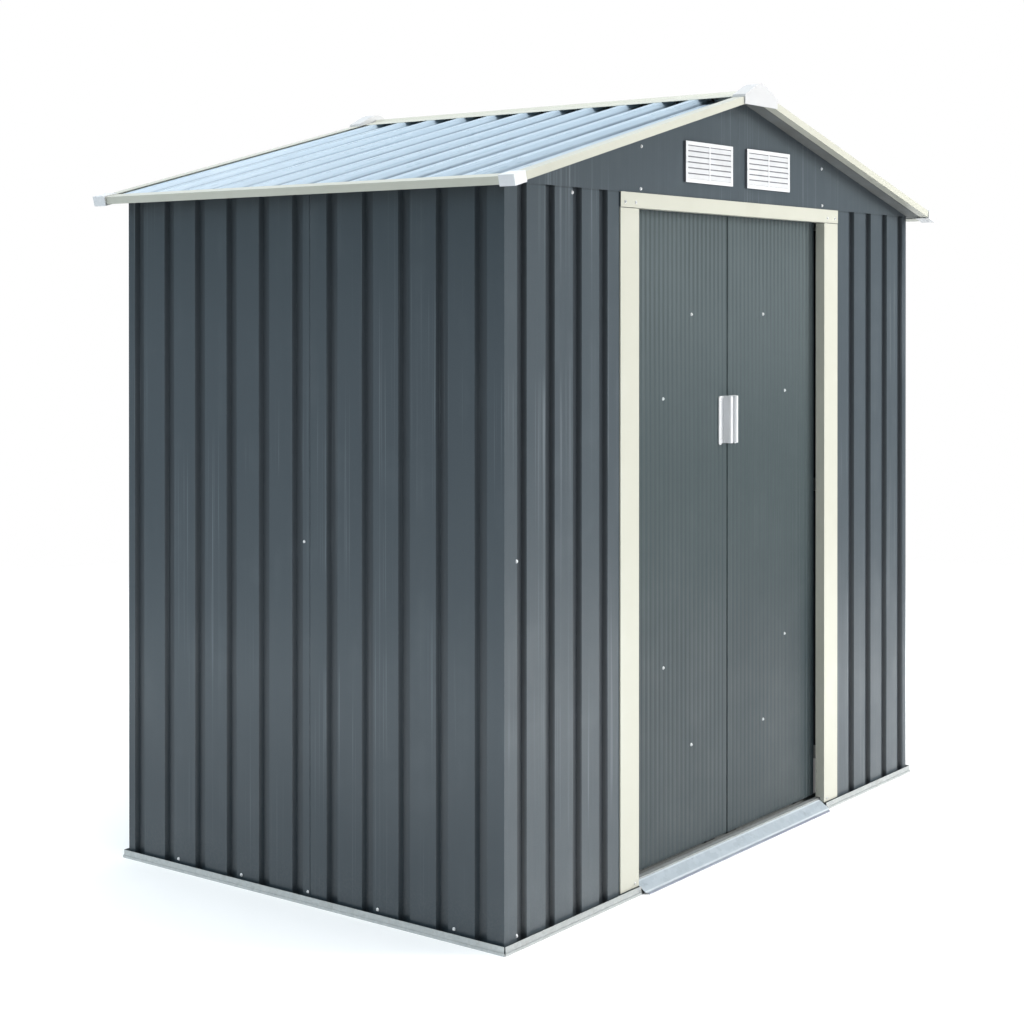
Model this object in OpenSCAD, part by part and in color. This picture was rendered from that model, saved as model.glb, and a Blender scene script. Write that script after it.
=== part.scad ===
// Metal storage shed with a pair of sliding doors, millimetres, +Z up
// Origin on the ground at the centre of the plan, the doors face -Y

/* [Walls] */
// Width over the side walls
wall_width = 1920; // [1700:10:2400]
// Depth over the front and back walls
wall_depth = 1166; // [950:2:1500]
// Height of the lower edge of the gable sheets
wall_height = 1620; // [1500:5:1900]
// Thickness of the ribbed steel sheet
sheet_thickness = 0.8; // [0.6:0.1:1]
// Depth of a wall groove
groove_depth = 10; // [6:0.5:12]
// Width of a wall groove at the wall face
groove_mouth = 34; // [28:1:44]
// Width of the floor of a wall groove
groove_floor = 24; // [18:1:27]
// Distance of the first groove from a corner with a wide wrap
wide_first_groove = 62; // [58:1:75]
// Distance of the first groove from a corner with a narrow wrap
narrow_first_groove = 38; // [36:1:50]
// Width of the wide wrap of a side sheet round its corner
wide_wrap = 40; // [25:1:42]
// Width of the narrow wrap of a side sheet round its corner
narrow_wrap = 16; // [10:1:18]
// Number of grooves in a side wall
side_grooves = 11; // [9:1:13]
// Spacing of the grooves in the front wall
front_groove_pitch = 101.5; // [90:0.5:110]
// Least flat left between the last front groove and the door jamb
front_groove_margin = 50; // [40:1:65]
// Width of the lap where two sheets of one wall meet
lap_width = 19; // [12:1:24]
// Distance from a groove to the lap beside it
lap_gap = 2; // [1:0.5:4]

/* [Base] */
// Thickness of the galvanised rails and braces
rail_thickness = 1.2; // [0.8:0.1:1.5]
// Height of the outer face of the base rails
rail_height = 19; // [15:1:20]
// Distance of the base rails in front of the walls
rail_projection = 10; // [8:0.5:12]
// Distance that the foot of the base rails stands out
rail_bead = 2; // [1:0.5:3]
// Height of the foot of the base rails
rail_bead_height = 7; // [5:0.5:9]
// Gap at the mitred corners of the base rails
mitre_gap = 2; // [1:0.5:3]
// Height of the leg of the base rails behind the walls
rail_upstand = 40; // [25:1:60]
// Width of the front base rail behind the wall face
front_rail_inner = 57; // [56:1:60]
// Height of the inner leg of the front base rail
front_rail_lip = 24; // [15:1:26]
// Height of the lower door track behind the ramp
lower_track_height = 29; // [26:0.5:30]
// Distance of the sill of the lower door track in front of the doors
sill_gap = 6; // [5:0.5:10]
// Height of the ramp where it meets the door track
ramp_height = 26; // [24:0.5:28]
// Distance of the ramp lip in front of the wall face
ramp_reach = 26; // [20:1:40]
// Height of the start of the ramp lip
ramp_lip = 6; // [4:0.5:8]
// Width of the flatter lip along the foot of the ramp
ramp_lip_width = 7; // [4:0.5:10]
// Size of the cut corners at the foot of the ramp
ramp_corner = 8; // [4:0.5:12]
// Gap between the ramp and each jamb
ramp_side_gap = 3; // [1:0.5:8]

/* [Roof] */
// Pitch of the roof
roof_pitch = 14.8; // [10:0.2:16]
// Roof overhang beyond the side walls
eave_overhang = 48; // [40:1:80]
// Roof overhang beyond the front and back walls
rake_overhang = 65; // [60:1:100]
// Height of a roof rib
roof_rib_height = 15; // [10:0.5:20]
// Width of a roof rib at its foot
roof_rib_foot = 44; // [38:1:55]
// Width of a roof rib at its top
roof_rib_top = 24; // [15:1:30]
// Number of ribs on each slope
roof_ribs = 11; // [7:2:11]
// Spacing of the roof ribs
roof_rib_pitch = 107; // [95:1:110]
// Offset of the middle roof rib towards the back
roof_rib_offset = 44; // [20:1:45]
// Gap between the roof sheets and the ridge
ridge_gap = 6; // [4:1:15]
// Gap between the roof sheets and the pieces over and under them
seat_gap = 0.1; // [0.05:0.05:0.3]
// Gap between the roof sheet edges and the trim around them
sheet_edge_gap = 1; // [0.5:0.5:3]
// Thickness of the roof trims
trim_thickness = 1; // [0.8:0.1:1.5]
// Width of the upper lip of the roof trims
trim_upper_lip = 34; // [34:1:36]
// Width of the lower lip of the roof trims
trim_lower_lip = 24; // [15:1:30]
// Half width of the ridge cap
ridge_cap_half_width = 62; // [45:1:90]
// Half width of the bead along the ridge cap
ridge_bead_half_width = 14; // [8:1:20]
// Height of the bead along the ridge cap
ridge_bead_height = 7; // [4:0.5:10]
// Thickness of the plastic roof caps
cap_thickness = 3; // [2:0.5:4]
// Length of a corner cap along each trim
corner_cap_length = 38; // [37:1:50]
// Gap between the plastic caps and the trims inside them
cap_gap = 0.3; // [0.2:0.1:0.5]
// Depth of a peak cap along the ridge
peak_cap_length = 33; // [25:1:33]
// Half width of a peak cap
peak_cap_half_width = 80; // [60:1:90]
// Height of the peak cap below the ridge line
peak_cap_drop = 21; // [19:1:30]
// Height of the peak cap above the ridge line
peak_cap_rise = 35; // [28:1:45]
// Height of the upright sides of a peak cap above the ridge line
peak_cap_side = 3; // [0:1:8]
// Half width of the rounded top of a peak cap
peak_cap_crown = 26; // [20:1:40]
// Height of the rounded top of a peak cap
peak_cap_crown_height = 6; // [4:1:8]
// Half width of the ridge beam
ridge_beam_half_width = 26; // [20:1:40]
// Depth of the ridge beam and the purlins
beam_depth = 34; // [25:1:50]
// Width of a purlin
purlin_width = 42; // [30:1:60]

/* [Gables] */
// Gap at the seam between the two halves of a gable
gable_seam = 0.6; // [0.4:0.1:1]
// Distance of a vent from the middle of the gable
vent_offset = 145; // [130:1:160]
// Width of a vent
vent_width = 219; // [180:1:225]
// Height of a vent
vent_height = 99; // [80:1:105]
// Height of the lower edge of the vents above the gable edge
vent_rise = 36; // [25:1:45]
// Thickness of the vent plate
vent_thickness = 6; // [5:0.5:7]
// Width of the rim around the vent slots
vent_rim = 9; // [7:0.5:12]
// Width of the bar between the two rows of slots
vent_bar = 5; // [4:0.5:12]
// Number of louvres over each other in a vent
vent_louvres = 6; // [4:1:8]
// Thickness of a louvre blade
louvre_thickness = 4.2; // [3:0.1:4.5]
// Distance of the louvre blades behind the faces of the vent
louvre_inset = 0.5; // [0.3:0.1:0.8]
// Depth of the louvre blades
louvre_depth = 2.5; // [2:0.1:4]
// Tilt of the louvre blades
louvre_tilt = 65; // [60:1:68]

/* [Doorway] */
// Clear width between the jambs
opening_width = 906; // [800:2:1000]
// Height of the face of the header
header_height = 35; // [32:1:40]
// Gap between the header and the tops of the jambs
header_seam = 1.5; // [1:0.5:2]
// Width of the face of a jamb
jamb_width = 76; // [60:1:80]
// Distance of the jamb face in front of the wall
jamb_projection = 3; // [2:0.5:6]
// Depth of the jamb return behind the wall face
jamb_return = 23; // [18:0.5:25]
// Overlap of a front wall sheet behind its jamb
jamb_overlap = 56; // [40:1:60]
// Height of the flange of the upper door track
track_flange_height = 17; // [10:1:17]
// Height of the channel of the upper door track
track_depth = 32; // [26:1:36]
// Width of the channel of the upper door track
track_width = 61; // [60:1:68]
// Width of the ledge that carries the doors
track_ledge = 16; // [12:1:18]
// Distance of the web of the upper track over the header edge
track_rise = 22; // [18:1:26]
// Distance of the ends of the door tracks from the side walls
track_end_gap = 55; // [45:1:80]

/* [Doors] */
// Distance of the door face behind the wall face
door_setback = 31; // [30:0.5:33]
// Depth of the folded door edge
door_edge = 16; // [14:0.5:18]
// Gap at the seam between the two doors
door_seam = 5.5; // [5:0.5:8]
// Height of the lower edge of the doors
door_bottom = 35; // [34:0.5:40]
// Overlap of the doors behind the header
door_top_overlap = 11; // [8:1:13]
// Overlap of a door behind its jamb
door_cover = 0; // [0:1:10]
// Spacing of the fine ribs in a door
door_rib_pitch = 19.4; // [15:0.1:24]
// Depth of the fine ribs in a door
door_rib_depth = 0.7; // [0.6:0.1:2]
// Width of a fine groove at the door face
door_rib_mouth = 11; // [9:0.5:13]
// Width of the floor of a fine groove
door_rib_floor = 6; // [4:0.5:7]
// Flat left at each edge of a door
door_flat = 14; // [10:1:20]
// Height of the channels across the top and bottom of a door
door_channel = 36; // [30:1:45]
// Width of a diagonal door brace
brace_width = 28; // [20:1:40]
// Distance between the two braces at the outer edge of a door
brace_spread = 182; // [120:2:260]
// Distance of the braces from the door edges and channels
brace_inset = 8; // [6:1:15]
// Length of a door glide
glide_length = 40; // [30:1:60]
// Distance of a door glide from the edge of the door
glide_inset = 30; // [20:1:60]
// Running gap between a glide and the ledge under it
glide_gap = 0.3; // [0.2:0.1:0.5]
// Running gap between a glide and the sides of its track
glide_side_gap = 1.5; // [1:0.1:2]
// Height of a top glide
top_glide_height = 17; // [12:1:18]
// Height of the foot of a bottom glide above the ground
bottom_glide_foot = 5; // [3:0.5:8]

/* [Handles] */
// Height of the lower end of a handle
handle_bottom = 1012; // [900:5:1100]
// Length of a handle
handle_length = 122; // [100:1:140]
// Width of a handle
handle_width = 36; // [32:1:60]
// Radius of the rounded outer corners of a handle
handle_round = 6; // [4:0.5:8]
// Height of the foot at the outer corner of a handle
handle_foot = 4; // [2:0.5:6]
// Distance of a handle from the seam
handle_edge = 4; // [3:0.5:6]
// Thickness of the handle flange
handle_flange = 3; // [2:0.5:4]
// Depth of a handle
handle_depth = 22; // [18:0.5:24]
// Width of the raised grip of a handle
handle_grip = 13; // [11:0.5:20]
// Size of the bevel along the grip
grip_bevel = 3; // [2:0.5:4]
// Thickness of the wall of the grip
handle_wall = 2.5; // [2:0.5:3]

/* [Braces] */
// Height of the lower edge of the mid wall braces
mid_brace_height = 808; // [700:5:900]
// Height of a mid wall brace
mid_brace_width = 36; // [25:1:50]
// Depth of the wall braces and top rails
brace_depth = 30; // [20:1:33]
// Height of the top rails below the wall top
top_rail_drop = 34; // [20:1:50]

/* [Hidden] */
half_width = wall_width / 2;
half_depth = wall_depth / 2;
half_opening = opening_width / 2;
jamb_outer = half_opening + jamb_width;
opening_height = wall_height - header_height;
track_half_length = half_width - track_end_gap;
door_width = half_opening + door_cover;
groove_back = groove_depth + sheet_thickness;
overrun = wall_depth;
roof_half_width = half_width + eave_overhang;
roof_half_depth = half_depth + rake_overhang;
slope_length = roof_half_width / cos(roof_pitch);
ridge_height = wall_height + half_width * tan(roof_pitch) + lap_gap;
rib_top = roof_rib_height + sheet_thickness + seat_gap * 2;
trim_top = rib_top + trim_thickness;
side_pitch = (wall_depth - wide_first_groove - narrow_first_groove) / (side_grooves - 1);
back_grooves = round((wall_width - wide_first_groove - narrow_first_groove) / side_pitch) + 1;
back_pitch = (wall_width - wide_first_groove - narrow_first_groove) / (back_grooves - 1);
front_span = half_width - jamb_outer - front_groove_margin;
door_top = opening_height + door_top_overlap;
door_inner = door_setback + door_rib_depth + sheet_thickness;
door_back = door_setback + door_edge;
door_ribs = floor((door_width - door_flat * 2 - door_rib_mouth) / door_rib_pitch) + 1;
door_middle = (door_top + door_bottom) / 2;
track_web = opening_height + track_rise;
ledge_top = track_web - track_depth + rail_thickness;
rail_outer = rail_projection + rail_bead;
rail_corner = front_rail_inner * 2;

// Which sub-part to draw

// A path of a bent sheet gets its thickness on its left side
function heading(a, b) = (b - a) / norm(b - a);
function left_of(d) = [-d[1], d[0]];
function corner_shift(a, b) = (a + b) / (1 + a * b);
function side_at(path, i) = left_of(heading(path[i], path[i + 1]));
function shift_at(path, i) =
    i == 0 ? side_at(path, 0)
    : i == len(path) - 1 ? side_at(path, i - 1)
    : corner_shift(side_at(path, i - 1), side_at(path, i));
function far_side(path, thickness) = [
    for (i = [len(path) - 1:-1:0]) path[i] + shift_at(path, i) * thickness
];
function sheet_outline(path, thickness) = concat(path, far_side(path, thickness));
function flat_list(lists) = [for (list = lists) for (item = list) item];

// Paths of the ribbed sheets, u along the wall and v into the shed
function groove_at(u, mouth, floor_width, depth) = [
    [u - mouth / 2, 0],
    [u - floor_width / 2, depth],
    [u + floor_width / 2, depth],
    [u + mouth / 2, 0]
];
function wall_grooves(places) = flat_list([
    for (u = places) groove_at(u, groove_mouth, groove_floor, groove_depth)
]);
function places_from(first, pitch, count) = [for (i = [0:count - 1]) first + i * pitch];
function lap_start(u) = u + groove_mouth / 2 + lap_gap;
function lap_end(u) = lap_start(u) + lap_width;
function lap_under(u) = [
    [lap_start(u), sheet_thickness],
    [lap_end(u) + lap_gap / 2, sheet_thickness],
    [lap_end(u) + lap_gap * 2, 0]
];

// Height of the underside of the roof sheets over a place x
function deck_at(x) = ridge_height - abs(x) * tan(roof_pitch);

module bent_upright(path, thickness, bottom, top) {
    translate([0, 0, bottom])
        linear_extrude(top - bottom)
            polygon(sheet_outline(path, thickness));
}

module bent_along_x(path, thickness, start, end) {
    translate([start, 0, 0])
        rotate([90, 0, 90])
            linear_extrude(end - start)
                polygon(sheet_outline(path, thickness));
}

module bent_along_y(path, thickness, start, end) {
    translate([0, end, 0])
        rotate([90, 0, 0])
            linear_extrude(end - start)
                polygon(sheet_outline(path, thickness));
}

// Each wall has its outer face on v = 0
module on_front() {
    translate([0, -half_depth, 0]) children();
}

module on_back() {
    rotate([0, 0, 180]) on_front() children();
}

module on_left() {
    translate([-half_width, 0, 0]) rotate([0, 0, -90]) children();
}

module on_right() {
    rotate([0, 0, 180]) on_left() children();
}

module half_turn() {
    rotate([0, 0, 180]) children();
}

module other_side() {
    mirror([1, 0, 0]) children();
}

// The right slope, u down from the ridge along X and n square to the sheet
module on_slope() {
    translate([0, 0, ridge_height]) rotate([0, roof_pitch, 0]) children();
}

module under_roof() {
    intersection() {
        children();
        translate([0, overrun, 0])
            rotate([90, 0, 0])
                linear_extrude(overrun * 2)
                    polygon([
                        [-roof_half_width, 0],
                        [roof_half_width, 0],
                        [roof_half_width, deck_at(roof_half_width)],
                        [0, ridge_height],
                        [-roof_half_width, deck_at(roof_half_width)]
                    ]);
    }
}

// Base rails with open mitred corners, the front one cut down where the ramp crosses it
module mitred(length) {
    end = length - mitre_gap;
    intersection() {
        children();
        linear_extrude(rail_upstand)
            polygon([
                [-end, -rail_outer],
                [end, -rail_outer],
                [end - rail_corner, rail_corner - rail_outer],
                [rail_corner - end, rail_corner - rail_outer]
            ]);
    }
}

function rail_front() = [
    [-rail_projection, rail_height],
    [-rail_projection, rail_bead_height],
    [-rail_outer, rail_bead_height - rail_bead],
    [-rail_outer, 0]
];

module wall_rail(length) {
    path = concat(rail_front(), [
        [groove_back + rail_thickness, 0],
        [groove_back + rail_thickness, rail_upstand]
    ]);
    mitred(length) bent_along_x(path, rail_thickness, -length, length);
}

module base_rail_front() {
    length = half_width + rail_outer;
    path = concat(rail_front(), [
        [front_rail_inner, 0],
        [front_rail_inner, front_rail_lip]
    ]);
    color("silver") on_front() difference() {
        mitred(length) bent_along_x(path, rail_thickness, -length, length);
        translate([-half_opening, -overrun, rail_thickness])
            cube([opening_width, overrun, overrun]);
    }
}

module base_rail_back() {
    color("silver") on_back() wall_rail(half_width + rail_outer);
}

module base_rail_left() {
    color("silver") on_left() wall_rail(half_depth + rail_outer);
}

module base_rail_right() {
    color("silver") on_right() wall_rail(half_depth + rail_outer);
}

module lower_door_track() {
    leg = door_back - glide_side_gap;
    path = [
        [door_setback - sill_gap, lower_track_height],
        [groove_back, lower_track_height],
        [groove_back, rail_thickness],
        [leg, rail_thickness],
        [leg, front_rail_lip]
    ];
    color("silver") on_front() bent_along_x(path, rail_thickness, -track_half_length, track_half_length);
}

module door_ramp() {
    length = half_opening - ramp_side_gap;
    path = [
        [groove_back - rail_thickness, ramp_height],
        [ramp_lip_width - ramp_reach, ramp_lip],
        [-ramp_reach, ramp_lip / 2],
        [-ramp_reach, 0]
    ];
    color("gainsboro") on_front() intersection() {
        bent_along_x(path, rail_thickness, -length, length);
        linear_extrude(lower_track_height)
            polygon([
                [-length, groove_back],
                [-length, ramp_corner - ramp_reach],
                [ramp_corner - length, -ramp_reach],
                [length - ramp_corner, -ramp_reach],
                [length, ramp_corner - ramp_reach],
                [length, groove_back]
            ]);
    }
}

// Wall sheets
module side_front_sheet() {
    first = narrow_first_groove - half_depth;
    lap = (side_grooves - 1) / 2;
    places = places_from(first, side_pitch, side_grooves);
    end = half_depth + sheet_thickness;
    path = concat(
        lap_under(places[lap]),
        wall_grooves([for (i = [lap + 1:side_grooves - 1]) places[i]]),
        [[end, 0], [end, wide_wrap]]
    );
    bent_upright(path, sheet_thickness, rail_thickness, wall_height - lap_gap / 2);
}

module side_back_sheet() {
    first = narrow_first_groove - half_depth;
    lap = (side_grooves - 1) / 2;
    places = places_from(first, side_pitch, side_grooves);
    end = -half_depth - sheet_thickness;
    path = concat(
        [[end, narrow_wrap], [end, 0]],
        wall_grooves([for (i = [0:lap]) places[i]]),
        [[lap_end(places[lap]), 0]]
    );
    bent_upright(path, sheet_thickness, rail_thickness, wall_height - lap_gap / 2);
}

module left_wall_front_panel() {
    color("slategray") on_left() side_front_sheet();
}

module left_wall_back_panel() {
    color("slategray") on_left() side_back_sheet();
}

module right_wall_front_panel() {
    color("slategray") on_right() side_back_sheet();
}

module right_wall_back_panel() {
    color("slategray") on_right() side_front_sheet();
}

module front_sheet(first) {
    count = floor((front_span - first) / front_groove_pitch) + 1;
    start = sheet_thickness + cap_gap - half_width;
    places = places_from(first - half_width, front_groove_pitch, count);
    end = jamb_overlap - jamb_outer;
    path = concat([[start, 0]], wall_grooves(places), [[end, 0]]);
    under_roof() on_front() bent_upright(path, sheet_thickness, rail_thickness, wall_height + lap_width);
}

module front_wall_left_panel() {
    color("slategray") front_sheet(wide_first_groove);
}

module front_wall_right_panel() {
    color("slategray") other_side() front_sheet(narrow_first_groove);
}

module back_sheet(path) {
    under_roof() on_back() bent_upright(path, sheet_thickness, rail_thickness, wall_height + lap_width);
}

module back_wall_right_panel() {
    places = places_from(wide_first_groove - half_width, back_pitch, back_grooves);
    lap = floor(back_grooves / 2);
    start = sheet_thickness + cap_gap - half_width;
    path = concat(
        [[start, 0]],
        wall_grooves([for (i = [0:lap]) places[i]]),
        [[lap_end(places[lap]), 0]]
    );
    color("slategray") back_sheet(path);
}

module back_wall_left_panel() {
    places = places_from(wide_first_groove - half_width, back_pitch, back_grooves);
    lap = floor(back_grooves / 2);
    end = half_width - sheet_thickness - cap_gap;
    path = concat(
        lap_under(places[lap]),
        wall_grooves([for (i = [lap + 1:back_grooves - 1]) places[i]]),
        [[end, 0]]
    );
    color("slategray") back_sheet(path);
}

// Gable sheets stand on the outer faces of the walls below them
module gable_half() {
    edge = (ridge_height - wall_height) / tan(roof_pitch);
    translate([0, -half_depth, 0])
        rotate([90, 0, 0])
            linear_extrude(sheet_thickness)
                polygon([
                    [gable_seam / 2, wall_height],
                    [edge, wall_height],
                    [gable_seam / 2, deck_at(gable_seam / 2)]
                ]);
}

module vent_hole() {
    bottom = wall_height + vent_rise + vent_rim;
    translate([vent_offset - vent_width / 2 + vent_rim, -half_depth - overrun / 2, bottom])
        cube([vent_width - vent_rim * 2, overrun, vent_height - vent_rim * 2]);
}

module front_gable_right() {
    color("slategray") difference() {
        gable_half();
        vent_hole();
    }
}

module front_gable_left() {
    other_side() front_gable_right();
}

module back_gable_left() {
    color("slategray") half_turn() gable_half();
}

module back_gable_right() {
    color("slategray") half_turn() other_side() gable_half();
}

// A blade leans out at its lower edge and hides the slot behind it
module louvre_blade() {
    rise = louvre_depth * tan(louvre_tilt);
    height = louvre_thickness / cos(louvre_tilt);
    length = vent_width - vent_rim;
    translate([-length / 2, louvre_inset - vent_thickness, 0])
        rotate([90, 0, 90])
            linear_extrude(length)
                polygon([[0, 0], [louvre_depth, rise], [louvre_depth, rise + height], [0, height]]);
}

module vent() {
    slot_width = (vent_width - vent_rim * 2 - vent_bar) / 2;
    slot_height = vent_height - vent_rim * 2;
    pitch = slot_height / vent_louvres;
    face = half_depth + sheet_thickness;
    translate([vent_offset, -face, wall_height + vent_rise + vent_height / 2]) {
        difference() {
            translate([-vent_width / 2, -vent_thickness, -vent_height / 2])
                cube([vent_width, vent_thickness, vent_height]);
            for (left = [-slot_width - vent_bar / 2, vent_bar / 2])
                translate([left, -overrun / 2, -slot_height / 2])
                    cube([slot_width, overrun, slot_height]);
        }
        for (i = [0:vent_louvres - 1])
            translate([0, 0, i * pitch + louvre_inset - slot_height / 2])
                louvre_blade();
    }
}

module gable_vents() {
    color("white") {
        vent();
        other_side() vent();
    }
}

// Rails inside the walls
module side_top_rail() {
    outer = half_width - groove_back;
    inner = outer - brace_depth;
    end = half_depth - groove_back - lap_gap;
    path = [
        [outer, wall_height - top_rail_drop],
        [outer, deck_at(outer)],
        [inner, deck_at(inner)]
    ];
    bent_along_y(path, rail_thickness, -end, end);
}

module back_top_rail() {
    length = half_width - groove_back - brace_depth - lap_gap;
    path = [
        [groove_back + brace_depth, wall_height - lap_gap],
        [groove_back, wall_height - lap_gap],
        [groove_back, wall_height - top_rail_drop]
    ];
    on_back() bent_along_x(path, rail_thickness, -length, length);
}

module wall_top_rails() {
    color("silver") {
        side_top_rail();
        other_side() side_top_rail();
        back_top_rail();
    }
}

module mid_brace(length) {
    path = [
        [groove_back + brace_depth, mid_brace_height + mid_brace_width],
        [groove_back, mid_brace_height + mid_brace_width],
        [groove_back, mid_brace_height],
        [groove_back + brace_depth, mid_brace_height]
    ];
    bent_along_x(path, rail_thickness, -length, length);
}

module wall_mid_braces() {
    color("silver") {
        on_left() mid_brace(half_depth - groove_back - lap_gap);
        on_right() mid_brace(half_depth - groove_back - lap_gap);
        on_back() mid_brace(half_width - groove_back - brace_depth - lap_gap);
    }
}

// Door frame
module door_header() {
    front = -jamb_projection - trim_thickness;
    path = [
        [0, wall_height],
        [front, wall_height],
        [front, opening_height],
        [0, opening_height]
    ];
    color("ivory") on_front() {
        bent_along_x(path, trim_thickness, -jamb_outer, jamb_outer);
        translate([-half_opening, -trim_thickness, opening_height])
            cube([opening_width, jamb_return + trim_thickness, trim_thickness]);
    }
}

module door_jamb_left() {
    path = [
        [-jamb_outer, 0],
        [-jamb_outer, -jamb_projection],
        [-half_opening, -jamb_projection],
        [-half_opening, jamb_return]
    ];
    color("ivory") on_front() difference() {
        bent_upright(path, trim_thickness, rail_height, opening_height - header_seam);
        translate([-jamb_outer, groove_back - lap_gap, 0])
            cube([jamb_width + overrun, overrun, lower_track_height + lap_gap]);
    }
}

module door_jamb_right() {
    other_side() door_jamb_left();
}

module upper_door_track() {
    back = groove_back + track_width;
    path = [
        [groove_back, track_web + track_flange_height],
        [groove_back, track_web],
        [back, track_web],
        [back, track_web - track_depth + rail_thickness],
        [back - track_ledge, track_web - track_depth + rail_thickness]
    ];
    color("silver") on_front() bent_along_x(path, rail_thickness, -track_half_length, track_half_length);
}

// Roof
module ridge_beam() {
    edge = ridge_beam_half_width;
    path = [
        [edge, deck_at(edge) - beam_depth],
        [edge, deck_at(edge)],
        [0, ridge_height],
        [-edge, deck_at(edge)],
        [-edge, deck_at(edge) - beam_depth]
    ];
    color("silver") bent_along_y(path, rail_thickness, -half_depth, half_depth);
}

module purlin() {
    middle = slope_length / 2;
    path = [
        [middle + purlin_width / 2, -beam_depth],
        [middle + purlin_width / 2, 0],
        [middle - purlin_width / 2, 0],
        [middle - purlin_width / 2, -beam_depth]
    ];
    on_slope() bent_along_y(path, rail_thickness, -half_depth, half_depth);
}

module roof_purlins() {
    color("silver") {
        purlin();
        other_side() purlin();
    }
}

// A roof sheet is drawn along Y and its ribs stand up from the pans
function roof_rib_at(i) = groove_at(
    roof_rib_offset + (i - (roof_ribs - 1) / 2) * roof_rib_pitch,
    roof_rib_foot, roof_rib_top, roof_rib_height
);
function roof_lap() = roof_rib_offset + (roof_rib_pitch + roof_rib_foot) / 2;

module roof_sheet(path) {
    start = ridge_gap;
    end = slope_length - trim_thickness - sheet_edge_gap;
    on_slope() translate([0, 0, seat_gap]) bent_along_x(path, sheet_thickness, start, end);
}

module roof_front_sheet() {
    edge = roof_half_depth - trim_thickness - sheet_edge_gap;
    path = concat(
        [[-edge, 0]],
        flat_list([for (i = [0:(roof_ribs - 1) / 2]) roof_rib_at(i)]),
        [[roof_lap() - lap_width / 2, 0]]
    );
    roof_sheet(path);
}

module roof_back_sheet() {
    edge = roof_half_depth - trim_thickness - sheet_edge_gap;
    path = concat(
        [
            [roof_lap() - lap_width / 2 - lap_width, sheet_thickness],
            [roof_lap() - lap_width / 2 + lap_gap, sheet_thickness],
            [roof_lap() - lap_width / 2 + lap_gap * 2, 0]
        ],
        flat_list([for (i = [(roof_ribs + 1) / 2:roof_ribs - 1]) roof_rib_at(i)]),
        [[edge, 0]]
    );
    roof_sheet(path);
}

module roof_sheet_right_front() {
    color("lightsteelblue") roof_front_sheet();
}

module roof_sheet_right_back() {
    color("lightsteelblue") roof_back_sheet();
}

module roof_sheet_left_front() {
    other_side() roof_sheet_right_front();
}

module roof_sheet_left_back() {
    other_side() roof_sheet_right_back();
}

function rib_line(x) = deck_at(x) + rib_top / cos(roof_pitch);

module ridge_cap() {
    bead = ridge_bead_half_width;
    path = [
        [-ridge_cap_half_width, rib_line(ridge_cap_half_width)],
        [-bead, rib_line(bead)],
        [-bead / 2, rib_line(bead) + ridge_bead_height],
        [bead / 2, rib_line(bead) + ridge_bead_height],
        [bead, rib_line(bead)],
        [ridge_cap_half_width, rib_line(ridge_cap_half_width)]
    ];
    end = roof_half_depth - trim_upper_lip;
    color("ivory") bent_along_y(path, trim_thickness, -end, end);
}

module eave_trim_right() {
    path = [
        [slope_length - trim_lower_lip, -trim_thickness],
        [slope_length, -trim_thickness],
        [slope_length, trim_top],
        [slope_length - trim_upper_lip, trim_top]
    ];
    end = roof_half_depth - trim_upper_lip;
    color("ivory") on_slope() bent_along_y(path, trim_thickness, -end, end);
}

module eave_trim_left() {
    other_side() eave_trim_right();
}

module rake_trim() {
    path = [
        [trim_upper_lip - roof_half_depth, trim_top],
        [-roof_half_depth, trim_top],
        [-roof_half_depth, -trim_thickness],
        [trim_lower_lip - roof_half_depth, -trim_thickness]
    ];
    on_slope() bent_along_x(path, trim_thickness, trim_thickness, slope_length);
}

module rake_trims_front() {
    color("ivory") {
        rake_trim();
        other_side() rake_trim();
    }
}

module rake_trims_back() {
    half_turn() rake_trims_front();
}

module corner_cap() {
    outer = cap_thickness + cap_gap;
    height = trim_top + trim_thickness;
    on_slope() translate([slope_length - corner_cap_length, -roof_half_depth, -trim_thickness])
        difference() {
            translate([0, -outer, -outer])
                cube([corner_cap_length + outer, corner_cap_length + outer, height + outer * 2]);
            translate([-overrun, -cap_gap, -cap_gap])
                cube([overrun + corner_cap_length + cap_gap, overrun, height + cap_gap * 2]);
        }
}

module roof_corner_caps() {
    color("whitesmoke")
        for (turn = [0, 180])
            rotate([0, 0, turn]) {
                corner_cap();
                other_side() corner_cap();
            }
}

function peak_cap_edge(side) = [
    [side * peak_cap_half_width, peak_cap_side],
    [side * peak_cap_crown, peak_cap_rise - peak_cap_crown_height],
    [side * peak_cap_crown / 2, peak_cap_rise - peak_cap_crown_height / 4]
];
function turned(list) = [for (i = [len(list) - 1:-1:0]) list[i]];

module peak_cap() {
    clear_line = (trim_top + cap_gap) / cos(roof_pitch);
    side = peak_cap_half_width * 2;
    outline = concat(
        [[-peak_cap_half_width, -peak_cap_drop], [peak_cap_half_width, -peak_cap_drop]],
        peak_cap_edge(1),
        [[0, peak_cap_rise]],
        turned(peak_cap_edge(-1))
    );
    difference() {
        translate([0, peak_cap_length - roof_half_depth, ridge_height])
            rotate([90, 0, 0])
                linear_extrude(peak_cap_length + cap_gap + cap_thickness)
                    polygon(outline);
        translate([0, overrun - roof_half_depth, ridge_height])
            rotate([90, 0, 0])
                linear_extrude(overrun + cap_gap)
                    polygon([
                        [-side, -side],
                        [side, -side],
                        [side, clear_line - side * tan(roof_pitch)],
                        [0, clear_line],
                        [-side, clear_line - side * tan(roof_pitch)]
                    ]);
    }
}

module peak_caps() {
    color("whitesmoke") {
        peak_cap();
        half_turn() peak_cap();
    }
}

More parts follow.
